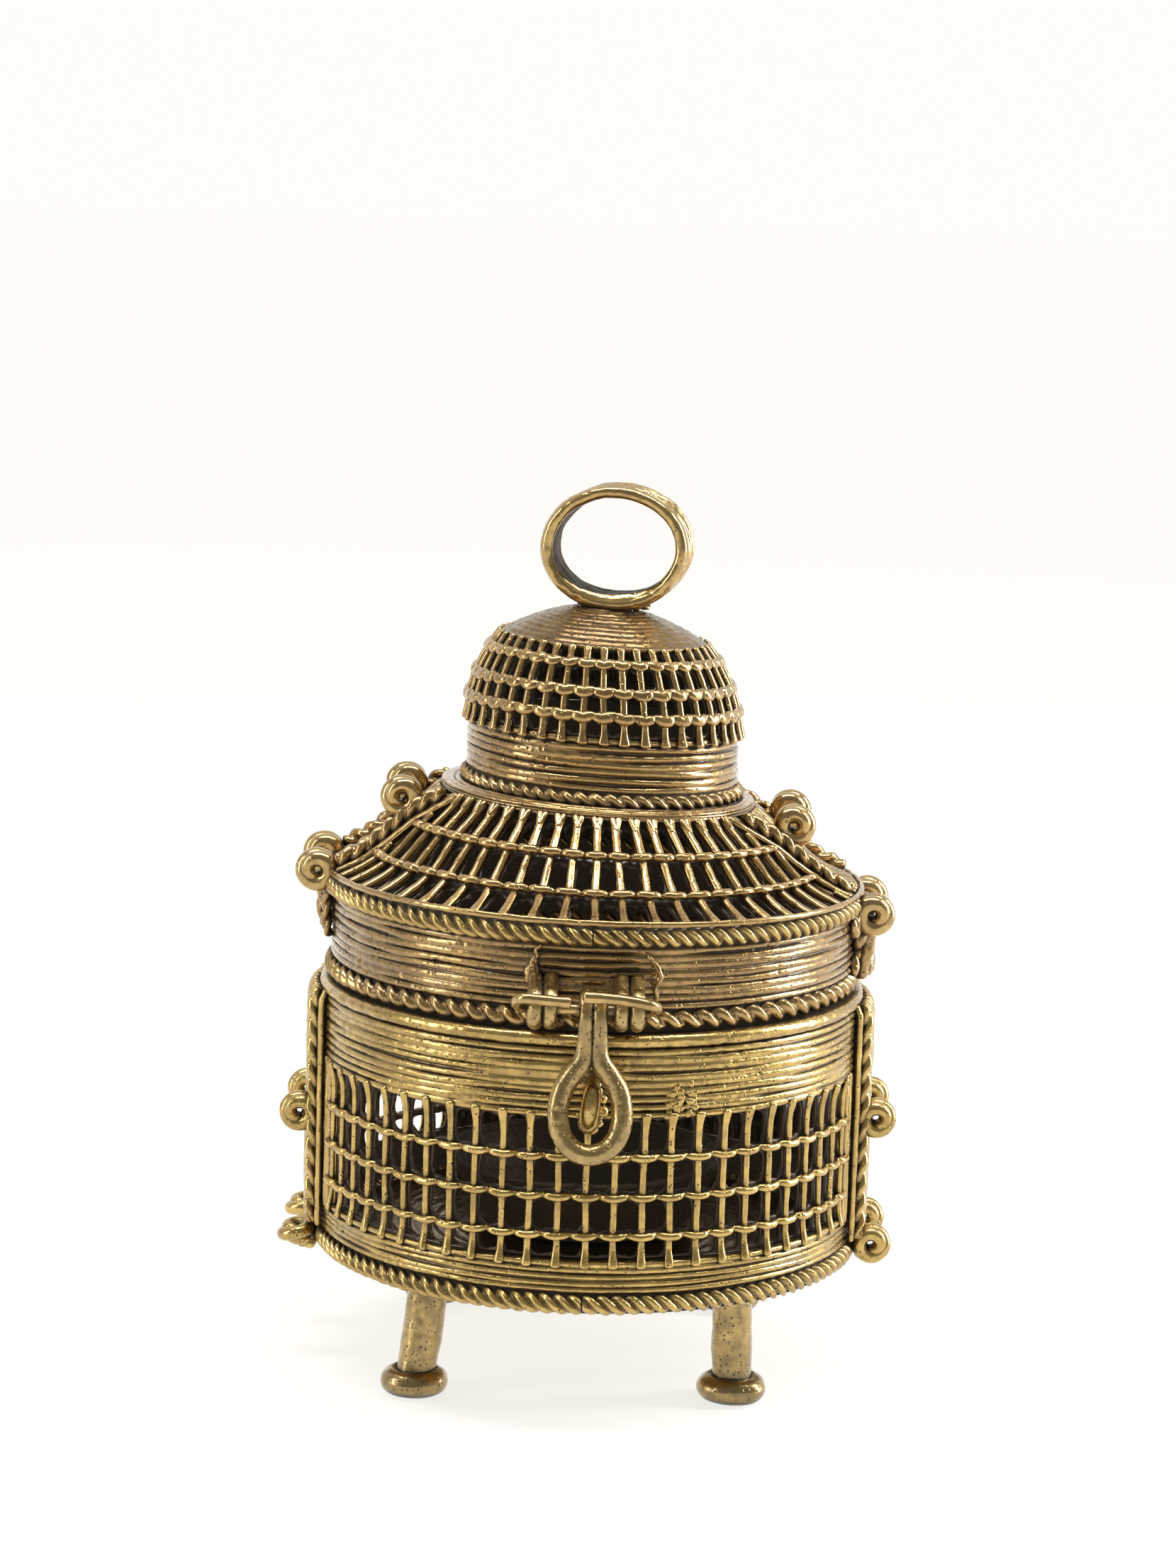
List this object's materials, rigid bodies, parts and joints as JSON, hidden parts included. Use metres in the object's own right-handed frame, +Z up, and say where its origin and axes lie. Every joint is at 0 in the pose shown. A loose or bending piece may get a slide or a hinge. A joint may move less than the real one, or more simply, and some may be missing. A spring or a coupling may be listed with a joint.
{
  "type": "lidded openwork censer box",
  "caption": "Round footed openwork box of cast brass with a hinged conical lid, ring handle, front hasp and a loose cup for charcoal.",
  "frame": {"origin": "on the floor under the middle of the box, at the middle of its bounding box", "axes": "+Z up; the front with the hasp faces -Y and the lid hinge is at +Y; +X is to the right as seen from the front"},
  "size_m": [0.1176, 0.1222, 0.1678],
  "materials": {
    "yellow_brass": "hand-worked cast brass, warm yellow on the high wires, dark brown patina in the hollows",
    "brown_brass": "cast brass with a browner, slightly coppery patina, rubbed bright on the high wires",
    "polished_brass": "handled brass, smoother and brighter, brown in the grooves",
    "darkened_brass": "brass darkened by smoke, dull"
  },
  "bodies": {
    "base": {"floor_plate": "brown_brass", "base_rope": "yellow_brass", "lower_band": "yellow_brass", "openwork_wall_front": "yellow_brass", "openwork_wall_back": "yellow_brass", "upper_band": "yellow_brass", "rim_lip": "yellow_brass", "side_rope_left_front": "yellow_brass", "side_rope_left_back": "yellow_brass", "side_rope_right_front": "yellow_brass", "side_rope_right_back": "yellow_brass", "body_knob_left_front_upper": "yellow_brass", "body_knob_left_back_upper": "yellow_brass", "body_knob_left_front_lower": "yellow_brass", "body_knob_left_back_lower": "yellow_brass", "body_knob_right_front_upper": "yellow_brass", "body_knob_right_back_upper": "yellow_brass", "body_knob_right_front_lower": "yellow_brass", "body_knob_right_back_lower": "yellow_brass", "leg_front_left": "yellow_brass", "foot_front_left": "yellow_brass", "leg_front_right": "yellow_brass", "foot_front_right": "yellow_brass", "leg_back_left": "yellow_brass", "foot_back_left": "yellow_brass", "leg_back_right": "yellow_brass", "foot_back_right": "yellow_brass", "staple": "yellow_brass", "body_hinge_knuckle": "brown_brass", "hinge_pin": "darkened_brass"},
    "lid": {"lid_rope": "brown_brass", "lid_band": "brown_brass", "shoulder_rope": "yellow_brass", "openwork_cone_front": "brown_brass", "openwork_cone_back": "brown_brass", "ridge_rope_left_front": "brown_brass", "ridge_rope_left_back": "brown_brass", "ridge_rope_right_front": "brown_brass", "ridge_rope_right_back": "brown_brass", "lid_knob_left_front_upper": "polished_brass", "lid_knob_left_back_upper": "polished_brass", "lid_knob_left_front_lower": "polished_brass", "lid_knob_left_back_lower": "polished_brass", "lid_knob_right_front_upper": "polished_brass", "lid_knob_right_back_upper": "polished_brass", "lid_knob_right_front_lower": "polished_brass", "lid_knob_right_back_lower": "polished_brass", "cone_collar": "brown_brass", "dome_rope": "brown_brass", "dome_drum": "brown_brass", "openwork_dome": "brown_brass", "dome_cap": "brown_brass", "ring_handle": "polished_brass", "hasp_knuckle_left": "polished_brass", "hasp_knuckle_right": "polished_brass", "hasp_pin": "polished_brass", "lid_hinge_knuckle_left": "brown_brass", "lid_hinge_knuckle_right": "brown_brass"},
    "hasp": {"hasp": "yellow_brass"},
    "cup": {"ember_cup": "darkened_brass"}
  },
  "joints": [
    {"name": "lid_hinge", "type": "hinge", "parent": "base", "child": "lid", "pos_m": [0, 0.0574, 0.075], "axis": [-1, 0, 0], "range_deg": [0, 105]},
    {"name": "hasp_hinge", "type": "hinge", "parent": "lid", "child": "hasp", "pos_m": [0.0003, -0.0546, 0.079], "axis": [-1, 0, 0], "range_deg": [-13, 80]},
    {"name": "cup_lift", "type": "slide", "parent": "base", "child": "cup", "axis": [0, 0, 1], "range_m": [0, 0.055]}
  ]
}
